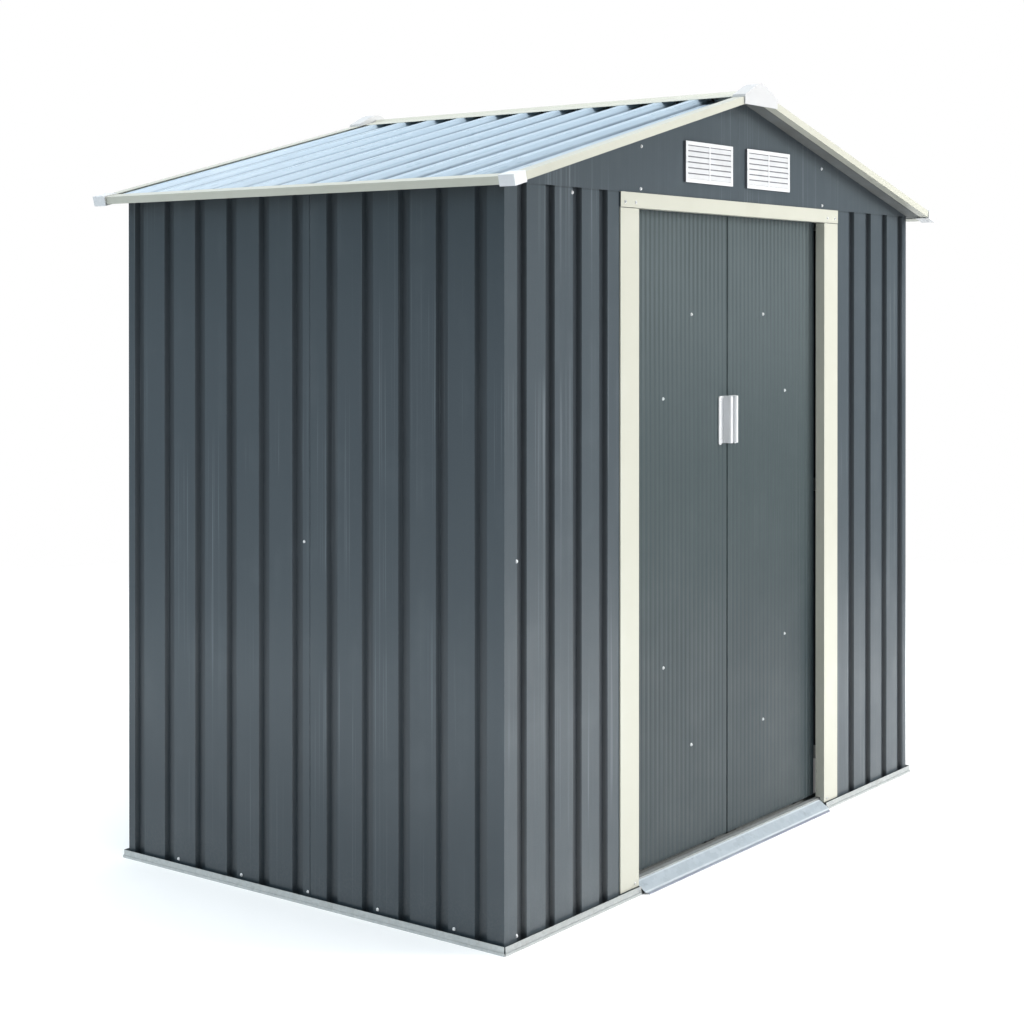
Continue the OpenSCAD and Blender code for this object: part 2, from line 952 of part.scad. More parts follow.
// Sliding doors, the left one drawn and the right one mirrored
module door_panel() {
    outer = -door_width - door_seam / 2;
    inner = -door_seam / 2;
    first = (outer + inner - (door_ribs - 1) * door_rib_pitch) / 2;
    ribs = places_from(first, door_rib_pitch, door_ribs);
    path = concat(
        [[outer, door_edge], [outer, 0]],
        flat_list([for (u = ribs) groove_at(u, door_rib_mouth, door_rib_floor, door_rib_depth)]),
        [[inner, 0], [inner, door_edge]]
    );
    color("slategray")
        on_front()
            translate([0, door_setback, 0])
                bent_upright(path, sheet_thickness, door_bottom, door_top);
}

module door_channel_at(bottom) {
    outer = sheet_thickness - door_width - door_seam / 2;
    inner = -sheet_thickness - door_seam / 2;
    path = [
        [door_back, bottom + door_channel],
        [door_inner, bottom + door_channel],
        [door_inner, bottom],
        [door_back, bottom]
    ];
    on_front() bent_along_x(path, rail_thickness, outer, inner);
}

module door_diagonal() {
    outer = sheet_thickness + brace_inset - door_width - door_seam / 2;
    inner = -sheet_thickness - brace_inset - door_seam / 2;
    high = door_top - door_channel - brace_inset;
    low = door_middle + brace_spread / 2;
    rise = brace_width * 2;
    on_front()
        translate([0, door_inner + rail_thickness, 0])
            rotate([90, 0, 0])
                linear_extrude(rail_thickness)
                    polygon([
                        [outer, low],
                        [inner, high - rise],
                        [inner, high],
                        [outer, low + rise]
                    ]);
}

module door_braces() {
    color("silver") {
        door_channel_at(door_bottom);
        door_channel_at(door_top - door_channel);
        door_diagonal();
        translate([0, 0, door_middle * 2]) mirror([0, 0, 1]) door_diagonal();
    }
}

// Outline of the handle plate, u from its outer edge and z from its foot
module handle_plate() {
    foot = handle_round * 2;
    translate([handle_round, handle_foot])
        square([handle_width - handle_round, handle_length - handle_foot]);
    translate([0, handle_round])
        square([handle_round, handle_length - foot]);
    translate([0, handle_round])
        square([foot, handle_foot]);
    for (z = [handle_round, handle_length - handle_round])
        translate([handle_round, z]) circle(handle_round);
}

function grip_outline(width, depth) = [
    [-width / 2 - grip_bevel, 0],
    [-width / 2, grip_bevel - depth],
    [grip_bevel - width / 2, -depth],
    [width / 2 - grip_bevel, -depth],
    [width / 2, grip_bevel - depth],
    [width / 2, 0]
];

module door_handle() {
    right = -door_seam / 2 - handle_edge;
    left = right - handle_width;
    hollow = handle_grip - handle_wall * 2;
    color("white")
        on_front()
            translate([left, door_setback, handle_bottom])
                difference() {
                    union() {
                        rotate([90, 0, 0])
                            linear_extrude(handle_flange)
                                handle_plate();
                        translate([handle_width - handle_grip / 2, 0, handle_foot])
                            linear_extrude(handle_length - handle_foot)
                                polygon(grip_outline(handle_grip, handle_depth));
                    }
                    translate([handle_width - handle_grip / 2, 0, handle_foot + handle_wall])
                        linear_extrude(handle_length - handle_foot - handle_wall * 2)
                            polygon(grip_outline(hollow, handle_depth - handle_wall));
                }
}

module glide_pair() {
    outer = glide_inset - door_width - door_seam / 2;
    inner = -glide_inset - glide_length - door_seam / 2;
    on_front()
        for (u = [outer, inner])
            translate([u, 0, 0]) children();
}

module door_glides() {
    top_reach = groove_back + track_width - glide_side_gap - rail_thickness - door_inner - rail_thickness;
    guide = front_rail_inner - rail_thickness - glide_side_gap - door_back;
    color("dimgray") {
        glide_pair()
            translate([0, door_inner + rail_thickness, ledge_top + glide_gap])
                cube([glide_length, top_reach, top_glide_height]);
        glide_pair()
            translate([0, door_back, bottom_glide_foot])
                cube([glide_length, guide, door_bottom + door_channel - bottom_glide_foot]);
    }
}

module left_door_panel() {
    door_panel();
}

module left_door_braces() {
    door_braces();
}

module left_door_handle() {
    door_handle();
}

module left_door_glides() {
    door_glides();
}

module right_door_panel() {
    other_side() door_panel();
}

module right_door_braces() {
    other_side() door_braces();
}

module right_door_handle() {
    other_side() door_handle();
}

module right_door_glides() {
    other_side() door_glides();
}

base_rail_front();
base_rail_back();
base_rail_left();
base_rail_right();
door_ramp();
lower_door_track();
left_wall_front_panel();
left_wall_back_panel();
right_wall_front_panel();
right_wall_back_panel();
back_wall_left_panel();
back_wall_right_panel();
front_wall_left_panel();
front_wall_right_panel();
front_gable_left();
front_gable_right();
back_gable_left();
back_gable_right();
gable_vents();
wall_top_rails();
wall_mid_braces();
door_header();
door_jamb_left();
door_jamb_right();
upper_door_track();
ridge_beam();
roof_purlins();
roof_sheet_left_front();
roof_sheet_left_back();
roof_sheet_right_front();
roof_sheet_right_back();
ridge_cap();
eave_trim_left();
eave_trim_right();
rake_trims_front();
rake_trims_back();
roof_corner_caps();
peak_caps();
left_door_panel();
left_door_braces();
left_door_handle();
left_door_glides();
right_door_panel();
right_door_braces();
right_door_handle();
right_door_glides();
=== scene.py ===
import math
import bmesh
import bpy
from mathutils import Matrix, Vector


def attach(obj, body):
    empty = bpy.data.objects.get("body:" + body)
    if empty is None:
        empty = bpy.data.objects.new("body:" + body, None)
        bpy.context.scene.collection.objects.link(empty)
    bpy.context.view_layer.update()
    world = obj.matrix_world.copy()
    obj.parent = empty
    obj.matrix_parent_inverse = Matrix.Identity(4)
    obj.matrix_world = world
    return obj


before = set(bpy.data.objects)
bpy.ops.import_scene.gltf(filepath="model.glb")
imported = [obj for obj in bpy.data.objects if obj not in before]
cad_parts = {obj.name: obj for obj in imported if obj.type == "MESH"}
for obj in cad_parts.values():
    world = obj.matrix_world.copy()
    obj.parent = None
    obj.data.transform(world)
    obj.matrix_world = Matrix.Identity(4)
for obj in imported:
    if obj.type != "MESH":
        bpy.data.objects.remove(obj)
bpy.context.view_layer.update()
scene = bpy.context.scene
print("frame loaded:", len(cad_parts), "pieces")


# camera, a level view camera with its back dropped

cameraSetup = {
    "place": (-4.0548, -2.9645, 1.3530),  # metres
    "yaw": -53.372,  # degrees
    "pitch": -0.221,
    "lens": 65.627,  # millimetres
    "sensor": 36,
    "slide": -0.0225,  # shares of the picture's width
    "drop": -0.1917,
}


def makeCamera():
    camera = bpy.data.objects.new("shedCamera", bpy.data.cameras.new("shedCamera"))
    scene.collection.objects.link(camera)
    camera.location = cameraSetup["place"]
    camera.rotation_euler = (math.radians(90 + cameraSetup["pitch"]), 0, math.radians(cameraSetup["yaw"]))
    camera.data.sensor_width = cameraSetup["sensor"]
    camera.data.lens = cameraSetup["lens"]
    camera.data.shift_x = cameraSetup["slide"]
    camera.data.shift_y = cameraSetup["drop"]
    camera.data.dof.use_dof = False
    scene.camera = camera


makeCamera()
print("camera set")


# node helpers

def addNode(tree, kind, **settings):
    node = tree.nodes.new(kind)
    for name, value in settings.items():
        setattr(node, name, value)
    return node


def wire(tree, source, target):
    tree.links.new(source, target)


def feed(tree, target, value):
    if isinstance(value, bpy.types.NodeSocket):
        wire(tree, value, target)
    else:
        target.default_value = value


def sums(tree, operation, first, second=None):
    node = addNode(tree, "ShaderNodeMath", operation=operation)
    feed(tree, node.inputs[0], first)
    if second is not None:
        feed(tree, node.inputs[1], second)
    return node.outputs[0]


def product(tree, first, *others):
    result = first
    for other in others:
        result = sums(tree, "MULTIPLY", result, other)
    return result


def blend(tree, first, second, shares):
    return sums(tree, "ADD", product(tree, first, shares[0]), product(tree, second, shares[1]))


def spread(tree, value, low, high, outLow=0.0, outHigh=1.0, soft=True):
    node = addNode(tree, "ShaderNodeMapRange")
    node.interpolation_type = "SMOOTHSTEP" if soft else "LINEAR"
    for index, item in enumerate((value, low, high, outLow, outHigh)):
        feed(tree, node.inputs[index], item)
    return node.outputs["Result"]


def between(tree, factor, first, second):
    return spread(tree, factor, 0.0, 1.0, first, second, False)


def mixColour(tree, factor, first, second):
    node = addNode(tree, "ShaderNodeMix", data_type="RGBA")
    feed(tree, node.inputs["Factor"], factor)
    feed(tree, node.inputs[6], first)
    feed(tree, node.inputs[7], second)
    return node.outputs[2]


def noise(tree, place, scale, detail, roughness):
    node = addNode(tree, "ShaderNodeTexNoise")
    wire(tree, place, node.inputs["Vector"])
    node.inputs["Scale"].default_value = scale
    node.inputs["Detail"].default_value = detail
    node.inputs["Roughness"].default_value = roughness
    return node.outputs["Fac"]


def partPlace(tree):
    return addNode(tree, "ShaderNodeTexCoord").outputs["Object"]


def faceNormal(tree):
    return addNode(tree, "ShaderNodeNewGeometry").outputs["Normal"]


def axes(tree, vector):
    node = addNode(tree, "ShaderNodeSeparateXYZ")
    wire(tree, vector, node.inputs[0])
    return node.outputs


def dotted(tree, first, second):
    node = addNode(tree, "ShaderNodeVectorMath", operation="DOT_PRODUCT")
    wire(tree, first, node.inputs[0])
    wire(tree, second, node.inputs[1])
    return node.outputs["Value"]


def stretched(tree, place, by):
    node = addNode(tree, "ShaderNodeVectorMath", operation="MULTIPLY")
    wire(tree, place, node.inputs[0])
    feed(tree, node.inputs[1], by)
    return node.outputs[0]


def startGroup(name, inputs, outputs):
    tree = bpy.data.node_groups.new(name, "ShaderNodeTree")
    kinds = {"colour": "NodeSocketColor", "number": "NodeSocketFloat", "vector": "NodeSocketVector"}
    for label, kind, value in inputs:
        socket = tree.interface.new_socket(name=label, in_out="INPUT", socket_type=kinds[kind])
        socket.default_value = value
    for label, kind in outputs:
        tree.interface.new_socket(name=label, in_out="OUTPUT", socket_type=kinds[kind])
    return tree, tree.nodes.new("NodeGroupInput").outputs, tree.nodes.new("NodeGroupOutput").inputs


# shared effects, where a noise is its scale in cycles a metre, its detail and its roughness

tinted = [("Color", "colour"), ("Mask", "number")]
surfaced = [("Color", "colour"), ("Roughness", "number"), ("Height", "number")]


def layOver(tree, given, out, mask, label):
    wire(tree, mixColour(tree, mask, given["Color"], given[label]), out["Color"])
    wire(tree, mask, out["Mask"])


rolledLook = {
    "fine": (1.0, 3.0, 0.65),  # along the stretched place
    "bands": (0.16, 2.0, 0.5),
    "patches": (2.3, 2.0, 0.55),
    "drift": (5.5, 3.0, 0.6),
    "specks": (620.0, 1.0, 0.5),
    "peel": (420.0, 2.0, 0.5),
    "waves": (7.0, 1.0, 0.4),
    "lineRange": (0.54, 0.70),
    "brokenRange": (0.42, 0.66),
    "toneShares": (0.6, 0.4),
    "deepRange": (0.5, 0.68),
    "paleRange": (0.5, 0.32),
    "speckRange": (0.56, 0.72),
    "speckAmount": 0.10,
    "glossShares": (0.5, 0.5),
    "glossRange": (0.3, 0.7),
}


def makeRolledFinish():
    tree, given, out = startGroup(
        "rolledFinish",
        [
            ("Paint", "colour", (0.1, 0.1, 0.1, 1)),
            ("Pale", "colour", (0.2, 0.2, 0.2, 1)),
            ("Deep", "colour", (0.05, 0.05, 0.05, 1)),
            ("Grain", "vector", (200, 200, 1)),  # cycles a metre, few along the rolling direction
            ("Streaks", "number", 0.3),
            ("Mottle", "number", 0.3),
            ("Shine", "number", 0.35),
            ("Dull", "number", 0.5),
            ("Peel", "number", 0.00001),  # metres
            ("Waves", "number", 0.0003),  # metres
        ],
        surfaced,
    )
    look = rolledLook
    place = partPlace(tree)
    along = stretched(tree, place, given["Grain"])
    fine = noise(tree, along, *look["fine"])
    bands = noise(tree, along, *look["bands"])
    drift = noise(tree, place, *look["drift"])
    broken = spread(tree, noise(tree, place, *look["patches"]), *look["brokenRange"])
    streaks = product(tree, spread(tree, fine, *look["lineRange"]), broken, given["Streaks"])
    tone = blend(tree, drift, bands, look["toneShares"])
    deep = product(tree, spread(tree, tone, *look["deepRange"]), given["Mottle"])
    light = product(tree, spread(tree, tone, *look["paleRange"]), given["Mottle"])
    colour = mixColour(tree, deep, given["Paint"], given["Deep"])
    colour = mixColour(tree, light, colour, given["Pale"])
    colour = mixColour(tree, streaks, colour, given["Pale"])
    specks = spread(tree, noise(tree, place, *look["specks"]), *look["speckRange"])
    grit = product(tree, specks, look["speckAmount"])
    wire(tree, mixColour(tree, grit, colour, given["Pale"]), out["Color"])
    gloss = blend(tree, drift, fine, look["glossShares"])
    wire(tree, spread(tree, gloss, *look["glossRange"], given["Shine"], given["Dull"]), out["Roughness"])
    peel = product(tree, noise(tree, place, *look["peel"]), given["Peel"])
    wave = product(tree, noise(tree, place, *look["waves"]), given["Waves"])
    wire(tree, sums(tree, "ADD", peel, wave), out["Height"])
    return tree


splashLook = {
    "uneven": (14.0, 4.0, 0.65),
    "spatter": (210.0, 2.0, 0.6),
    "spatterRange": (0.42, 0.62),
}


def makeGroundSplash():
    tree, given, out = startGroup(
        "groundSplash",
        [
            ("Color", "colour", (0.5, 0.5, 0.5, 1)),
            ("Dust", "colour", (0.42, 0.39, 0.34, 1)),
            ("Reach", "number", 0.12),  # metres above the ground
            ("Amount", "number", 0.4),
        ],
        tinted,
    )
    place = partPlace(tree)
    uneven = product(tree, noise(tree, place, *splashLook["uneven"]), given["Reach"])
    height = sums(tree, "SUBTRACT", axes(tree, place)["Z"], uneven)
    low = spread(tree, height, given["Reach"], 0.0)
    spatter = spread(tree, noise(tree, place, *splashLook["spatter"]), *splashLook["spatterRange"])
    layOver(tree, given, out, product(tree, low, spatter, given["Amount"]), "Dust")
    return tree


dustLook = {
    "cloud": (9.0, 5.0, 0.7),
    "cloudRange": (0.35, 0.75),
    "flatRange": (0.55, 0.98),  # upward part of the normal
}


def makeRestingDust():
    tree, given, out = startGroup(
        "restingDust",
        [
            ("Color", "colour", (0.5, 0.5, 0.5, 1)),
            ("Dust", "colour", (0.45, 0.43, 0.38, 1)),
            ("Amount", "number", 0.3),
        ],
        tinted,
    )
    flat = spread(tree, axes(tree, faceNormal(tree))["Z"], *dustLook["flatRange"])
    cloud = spread(tree, noise(tree, partPlace(tree), *dustLook["cloud"]), *dustLook["cloudRange"])
    layOver(tree, given, out, product(tree, flat, cloud, given["Amount"]), "Dust")
    return tree


spangleLook = {
    "wobble": 160.0,  # cycles a metre
    "bend": 0.006,  # metres
    "feather": (1.0, 2.0, 0.6),
    "featherGrain": (900.0, 260.0, 260.0),
    "shadeShares": (0.75, 0.25),
    "blotch": (26.0, 5.0, 0.7),
    "blotchRange": (0.55, 0.75),
    "roughShares": (0.7, 0.3),
    "relief": (240.0, 3.0, 0.6),
    "reliefHeight": 0.00002,
    "dents": (18.0, 2.0, 0.5),
    "dentHeight": 0.0004,
}


def makeZincSpangle():
    tree, given, out = startGroup(
        "zincSpangle",
        [
            ("Light", "colour", (0.7, 0.72, 0.74, 1)),
            ("Dark", "colour", (0.45, 0.47, 0.49, 1)),
            ("Stain", "colour", (0.32, 0.31, 0.29, 1)),
            ("Crystals", "number", 90.0),  # a metre
            ("Contrast", "number", 0.6),
            ("Stains", "number", 0.25),
            ("Shine", "number", 0.25),
            ("Dull", "number", 0.5),
        ],
        surfaced,
    )
    look = spangleLook
    place = partPlace(tree)
    bend = addNode(tree, "ShaderNodeVectorMath", operation="MULTIPLY_ADD")
    wobble = addNode(tree, "ShaderNodeTexNoise")
    wire(tree, place, wobble.inputs["Vector"])
    wobble.inputs["Scale"].default_value = look["wobble"]
    wire(tree, wobble.outputs["Color"], bend.inputs[0])
    bend.inputs[1].default_value = [look["bend"]] * 3
    wire(tree, place, bend.inputs[2])
    cells = addNode(tree, "ShaderNodeTexVoronoi")
    wire(tree, bend.outputs[0], cells.inputs["Vector"])
    wire(tree, given["Crystals"], cells.inputs["Scale"])
    chance = addNode(tree, "ShaderNodeSeparateColor")
    wire(tree, cells.outputs["Color"], chance.inputs[0])
    feather = noise(tree, stretched(tree, place, look["featherGrain"]), *look["feather"])
    shade = blend(tree, chance.outputs[0], feather, look["shadeShares"])
    colour = mixColour(tree, product(tree, shade, given["Contrast"]), given["Light"], given["Dark"])
    blotch = spread(tree, noise(tree, place, *look["blotch"]), *look["blotchRange"])
    stain = product(tree, blotch, given["Stains"])
    wire(tree, mixColour(tree, stain, colour, given["Stain"]), out["Color"])
    rough = blend(tree, chance.outputs[1], blotch, look["roughShares"])
    wire(tree, between(tree, rough, given["Shine"], given["Dull"]), out["Roughness"])
    relief = product(tree, noise(tree, place, *look["relief"]), look["reliefHeight"])
    dents = product(tree, noise(tree, place, *look["dents"]), look["dentHeight"])
    wire(tree, sums(tree, "ADD", relief, dents), out["Height"])
    return tree


mouldLook = {
    "cloud": (22.0, 4.0, 0.65),
    "ageRange": (0.42, 0.72),
    "glossRange": (0.35, 0.7),
    "grain": 900.0,  # cells a metre
    "flow": (60.0, 2.0, 0.5),
    "flowHeight": 0.0001,  # metres
}


def makeMouldedGrain():
    tree, given, out = startGroup(
        "mouldedGrain",
        [
            ("Fresh", "colour", (0.85, 0.86, 0.87, 1)),
            ("Aged", "colour", (0.78, 0.76, 0.68, 1)),
            ("Ageing", "number", 0.3),
            ("Shine", "number", 0.35),
            ("Dull", "number", 0.5),
            ("Depth", "number", 0.00002),  # metres
        ],
        surfaced,
    )
    look = mouldLook
    place = partPlace(tree)
    cloud = noise(tree, place, *look["cloud"])
    factor = product(tree, spread(tree, cloud, *look["ageRange"]), given["Ageing"])
    wire(tree, mixColour(tree, factor, given["Fresh"], given["Aged"]), out["Color"])
    wire(tree, spread(tree, cloud, *look["glossRange"], given["Shine"], given["Dull"]), out["Roughness"])
    grain = addNode(tree, "ShaderNodeTexVoronoi")
    wire(tree, place, grain.inputs["Vector"])
    grain.inputs["Scale"].default_value = look["grain"]
    pitted = product(tree, grain.outputs["Distance"], given["Depth"])
    flow = product(tree, noise(tree, place, *look["flow"]), look["flowHeight"])
    wire(tree, sums(tree, "ADD", pitted, flow), out["Height"])
    return tree


rubLook = {
    "samples": 4,
    "edgeRange": (0.985, 0.86),  # rounded normal along the flat one
    "worn": (55.0, 4.0, 0.7),
    "wornRange": (0.45, 0.65),
}


def makeEdgeRub():
    tree, given, out = startGroup(
        "edgeRub",
        [
            ("Color", "colour", (0.5, 0.5, 0.5, 1)),
            ("Bare", "colour", (0.6, 0.6, 0.6, 1)),
            ("Width", "number", 0.0012),  # metres
            ("Amount", "number", 0.5),
        ],
        tinted,
    )
    rounded = addNode(tree, "ShaderNodeBevel", samples=rubLook["samples"])
    wire(tree, given["Width"], rounded.inputs["Radius"])
    lean = dotted(tree, rounded.outputs[0], faceNormal(tree))
    edge = spread(tree, lean, *rubLook["edgeRange"])
    worn = spread(tree, noise(tree, partPlace(tree), *rubLook["worn"]), *rubLook["wornRange"])
    layOver(tree, given, out, product(tree, edge, worn, given["Amount"]), "Bare")
    return tree


wallFaces = {
    "halfWidth": 0.96,  # metres to the outer wall faces
    "halfDepth": 0.583,
    "cornerBlend": 0.001,
}


def behindFaces(tree, given, split):
    across = sums(tree, "SUBTRACT", given["Half Width"], sums(tree, "ABSOLUTE", split["X"]))
    along = sums(tree, "SUBTRACT", given["Half Depth"], sums(tree, "ABSOLUTE", split["Y"]))
    return across, along


def wallAmount(tree, given, across, along):
    corner = wallFaces["cornerBlend"]
    onEnd = spread(tree, sums(tree, "SUBTRACT", across, along), -corner, corner)
    return between(tree, onEnd, given["Side Amount"], given["Amount"])


recessShadeLook = {
    "uneven": (30.0, 3.0, 0.6),
    "unevenShare": 1.6,
    "untilShare": 1.3,
}


# painted shade: darkens the colour in grooves and recesses behind the outer wall faces, where shade falls
def makeGrooveGrime():
    tree, given, out = startGroup(
        "paintedRecessShade",
        [
            ("Color", "colour", (0.5, 0.5, 0.5, 1)),
            ("Painted Shade", "colour", (0.02, 0.025, 0.03, 1)),
            ("Half Width", "number", wallFaces["halfWidth"]),
            ("Half Depth", "number", wallFaces["halfDepth"]),
            ("From", "number", 0.0018),  # metres below the face
            ("Full", "number", 0.0075),
            ("Until", "number", 1.0),
            ("Side Amount", "number", 0.4),  # on the two side walls
            ("Amount", "number", 0.6),
        ],
        tinted,
    )
    place = partPlace(tree)
    across, along = behindFaces(tree, given, axes(tree, place))
    sunk = sums(tree, "MINIMUM", across, along)
    strength = wallAmount(tree, given, across, along)
    wander = product(tree, given["From"], recessShadeLook["unevenShare"])
    uneven = product(tree, noise(tree, place, *recessShadeLook["uneven"]), wander)
    deep = spread(tree, sums(tree, "ADD", sunk, uneven), given["From"], given["Full"])
    near = spread(tree, sunk, product(tree, given["Until"], recessShadeLook["untilShare"]), given["Until"])
    layOver(tree, given, out, product(tree, deep, near, strength), "Painted Shade")
    return tree


# painted shade: darkens the colour by height, towards the ground or under the eave
def makeHeightShade():
    tree, given, out = startGroup(
        "paintedHeightShade",
        [
            ("Color", "colour", (0.5, 0.5, 0.5, 1)),
            ("Shade", "colour", (0.02, 0.02, 0.02, 1)),
            ("Half Width", "number", wallFaces["halfWidth"]),
            ("Half Depth", "number", wallFaces["halfDepth"]),
            ("From", "number", 0.6),  # metres above the ground
            ("Full", "number", 0.1),
            ("Side Amount", "number", 0.3),  # on the two side walls
            ("Amount", "number", 0.0),
        ],
        tinted,
    )
    split = axes(tree, partPlace(tree))
    strength = wallAmount(tree, given, *behindFaces(tree, given, split))
    reached = spread(tree, split["Z"], given["From"], given["Full"])
    layOver(tree, given, out, product(tree, reached, strength), "Shade")
    return tree


hiddenLook = {
    "underRange": (-0.02, -0.08),  # upward part of the normal
    "cloud": (8.0, 4.0, 0.6),
    "cloudRange": (0.3, 0.7, 0.9, 1.0),
}


# undersides take the primer colour, which on the roof is darkened as painted shade
def makeHiddenFace():
    tree, given, out = startGroup(
        "hiddenFace",
        [
            ("Color", "colour", (0.5, 0.5, 0.5, 1)),
            ("Primer", "colour", (0.3, 0.3, 0.3, 1)),
        ],
        tinted,
    )
    under = spread(tree, axes(tree, faceNormal(tree))["Z"], *hiddenLook["underRange"])
    cloud = spread(tree, noise(tree, partPlace(tree), *hiddenLook["cloud"]), *hiddenLook["cloudRange"])
    layOver(tree, given, out, product(tree, under, cloud), "Primer")
    return tree


ribLook = {
    "coreShare": 0.27,  # of the breadth
    "patchy": (4.0, 3.0, 0.6),
    "patchyRange": (0.25, 0.7, 0.55, 1.0),
}


# painted light and shade: thin lines of colour along ribs, seams and edges, and a painted tone that fades in
# by height
def makeRibLines():
    tree, given, out = startGroup(
        "paintedLines",
        [
            ("Color", "colour", (0.5, 0.5, 0.5, 1)),
            ("Painted Line", "colour", (0.05, 0.07, 0.09, 1)),
            ("Painted Tone", "colour", (0.5, 0.5, 0.5, 1)),
            ("Direction", "vector", (0, 1, 0)),  # across the ribs
            ("Mirror", "number", 0.0),  # 1 counts from the middle of the shed
            ("Pitch", "number", 0.107),  # metres between ribs
            ("Start", "number", 0.044),
            ("Foot", "number", 0.022),  # metres from a rib's middle to the painted line
            ("Breadth", "number", 0.0045),
            ("Low", "number", -1.0),  # metres above the ground, where it fades out
            ("High", "number", -0.5),
            ("Amount", "number", 0.6),
            ("Fade", "number", 0.0),
        ],
        tinted,
    )
    place = partPlace(tree)
    straight = dotted(tree, place, given["Direction"])
    counted = between(tree, given["Mirror"], straight, sums(tree, "ABSOLUTE", straight))
    shifted = sums(tree, "SUBTRACT", counted, given["Start"])
    fromRib = sums(tree, "PINGPONG", shifted, product(tree, given["Pitch"], 0.5))
    away = sums(tree, "ABSOLUTE", sums(tree, "SUBTRACT", fromRib, given["Foot"]))
    line = spread(tree, away, given["Breadth"], product(tree, given["Breadth"], ribLook["coreShare"]))
    high = spread(tree, axes(tree, place)["Z"], given["Low"], given["High"])
    patchy = spread(tree, noise(tree, place, *ribLook["patchy"]), *ribLook["patchyRange"])
    mask = product(tree, line, patchy, high, given["Amount"])
    pale = mixColour(tree, product(tree, high, given["Fade"]), given["Color"], given["Painted Tone"])
    wire(tree, mixColour(tree, mask, pale, given["Painted Line"]), out["Color"])
    wire(tree, mask, out["Mask"])
    return tree


effects = {
    "rolledFinish": makeRolledFinish(),
    "paintedHeightShade": makeHeightShade(),
    "paintedRecessShade": makeGrooveGrime(),
    "hiddenFace": makeHiddenFace(),
    "paintedLines": makeRibLines(),
    "groundSplash": makeGroundSplash(),
    "restingDust": makeRestingDust(),
    "zincSpangle": makeZincSpangle(),
    "mouldedGrain": makeMouldedGrain(),
    "edgeRub": makeEdgeRub(),
}
print("shared effects built:", len(effects))


# materials

def startMaterial(name):
    material = bpy.data.materials.new(name)
    material.use_nodes = True
    shader = material.node_tree.nodes["Principled BSDF"]
    return material, material.node_tree, shader


def placeEffect(tree, name, **values):
    node = addNode(tree, "ShaderNodeGroup", node_tree=effects[name])
    for label, value in values.items():
        feed(tree, node.inputs[label], value)
    return node.outputs


def bumped(tree, shader, height):
    bump = addNode(tree, "ShaderNodeBump")
    bump.inputs["Distance"].default_value = 1.0
    wire(tree, height, bump.inputs["Height"])
    wire(tree, bump.outputs[0], shader.inputs["Normal"])


wallSheet = {
    "Paint": (0.0522, 0.0668, 0.0780, 1),
    "Pale": (0.126, 0.148, 0.164, 1),
    "Deep": (0.0415, 0.0550, 0.0665, 1),
    "Grain": (150, 150, 0.7),
    "Streaks": 0.85,
    "Mottle": 0.14,
    "Shine": 0.34,
    "Dull": 0.48,
    "Peel": 0.000012,
    "Waves": 0.0005,
}

doorSheet = {
    "Paint": (0.0415, 0.0580, 0.0620, 1),
    "Pale": (0.067, 0.086, 0.091, 1),
    "Deep": (0.036, 0.050, 0.055, 1),
    "Grain": (300, 300, 1.1),
    "Streaks": 0.22,
    "Mottle": 0.30,
    "Shine": 0.36,
    "Dull": 0.50,
    "Peel": 0.000012,
    "Waves": 0.0004,
}

# painted reflection: the pale sky blue stands in for the sky the roof reflects
roofSheetPaintedSky = {
    "Paint": (0.377, 0.470, 0.549, 1),
    "Pale": (0.475, 0.567, 0.632, 1),
    "Deep": (0.290, 0.372, 0.451, 1),
    "Grain": (0.9, 160, 0.9),
    "Streaks": 0.30,
    "Mottle": 0.35,
    "Shine": 0.22,
    "Dull": 0.36,
    "Peel": 0.000008,
    "Waves": 0.0006,
}

creamTrim = {
    "Paint": (0.465, 0.470, 0.408, 1),
    "Pale": (0.512, 0.518, 0.468, 1),
    "Deep": (0.405, 0.404, 0.341, 1),
    "Grain": (60, 60, 2.0),
    "Streaks": 0.35,
    "Mottle": 0.35,
    "Shine": 0.36,
    "Dull": 0.50,
    "Peel": 0.000012,
    "Waves": 0.0003,
}

greyBare = (0.34, 0.36, 0.37, 1)

sheetWearAndShade = {
    "wallSheet": {
        "reach": 0.10, "splash": 0.02, "dust": 0.15, "rub": 0.20, "bare": greyBare,
        "grooves": 0.85, "coat": 0.15,
    },
    "doorSheet": {
        "reach": 0.14, "splash": 0.02, "dust": 0.15, "rub": 0.20, "bare": greyBare,
        "grooves": 0.0, "coat": 0.10,
    },
    "roofSheetPaintedSky": {
        "reach": 0.02, "splash": 0.0, "dust": 0.05, "rub": 0.10, "bare": (0.62, 0.66, 0.70, 1),
        "grooves": 0.0, "coat": 0.20,
    },
    "creamTrim": {
        "reach": 0.16, "splash": 0.06, "dust": 0.08, "rub": 0.30, "bare": (0.62, 0.62, 0.57, 1),
        "grooves": 0.0, "coat": 0.15,
    },
}

sheetGloss = {
    "dusty": 0.85,
    "coat": 0.12,
}

# primer on the roof sheets' undersides, darkened as painted shade under the roof
roofPrimer = (0.115, 0.120, 0.115, 1)

# painted shade: dark lines at the feet of the roof ribs
roofRibShade = {
    "Painted Line": (0.075, 0.105, 0.135, 1),
    "Amount": 0.75,
}

# painted shadow: a thin dark line on the wall sheet just below the gable's lower edge
gableSeamShadow = {
    "Painted Line": (0.014, 0.019, 0.023, 1),
    "Direction": (0, 0, 1),
    "Pitch": 8.0,  # more than the shed, so one line
    "Start": 1.6185,
    "Foot": 0.0,
    "Breadth": 0.0028,
    "Amount": 0.45,
}

